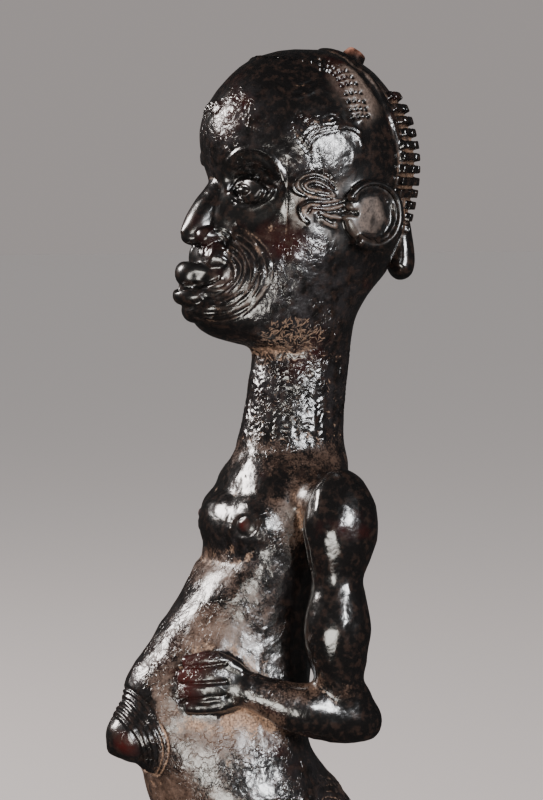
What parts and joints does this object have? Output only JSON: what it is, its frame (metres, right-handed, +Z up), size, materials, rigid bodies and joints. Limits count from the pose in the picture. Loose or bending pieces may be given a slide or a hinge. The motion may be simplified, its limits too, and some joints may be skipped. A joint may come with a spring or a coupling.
{
  "type": "standing cult figure",
  "caption": "Carved wooden cult figure standing on a low oval base, with a long scarred neck, rimmed round ears and both hands laid on a pointed belly; an ornament.",
  "frame": {"origin": "centre of the base's underside", "axes": "+Z up through the head, the figure faces -Y, and +X is the figure's left"},
  "size_m": [0.1089, 0.1258, 0.4011],
  "materials": {
    "patinated_wood": "near-black glossy oil patina over dark red-brown wood, with ochre clay dust in the hollows"
  },
  "bodies": {
    "root": {"figure": "patinated_wood"}
  },
  "joints": []
}
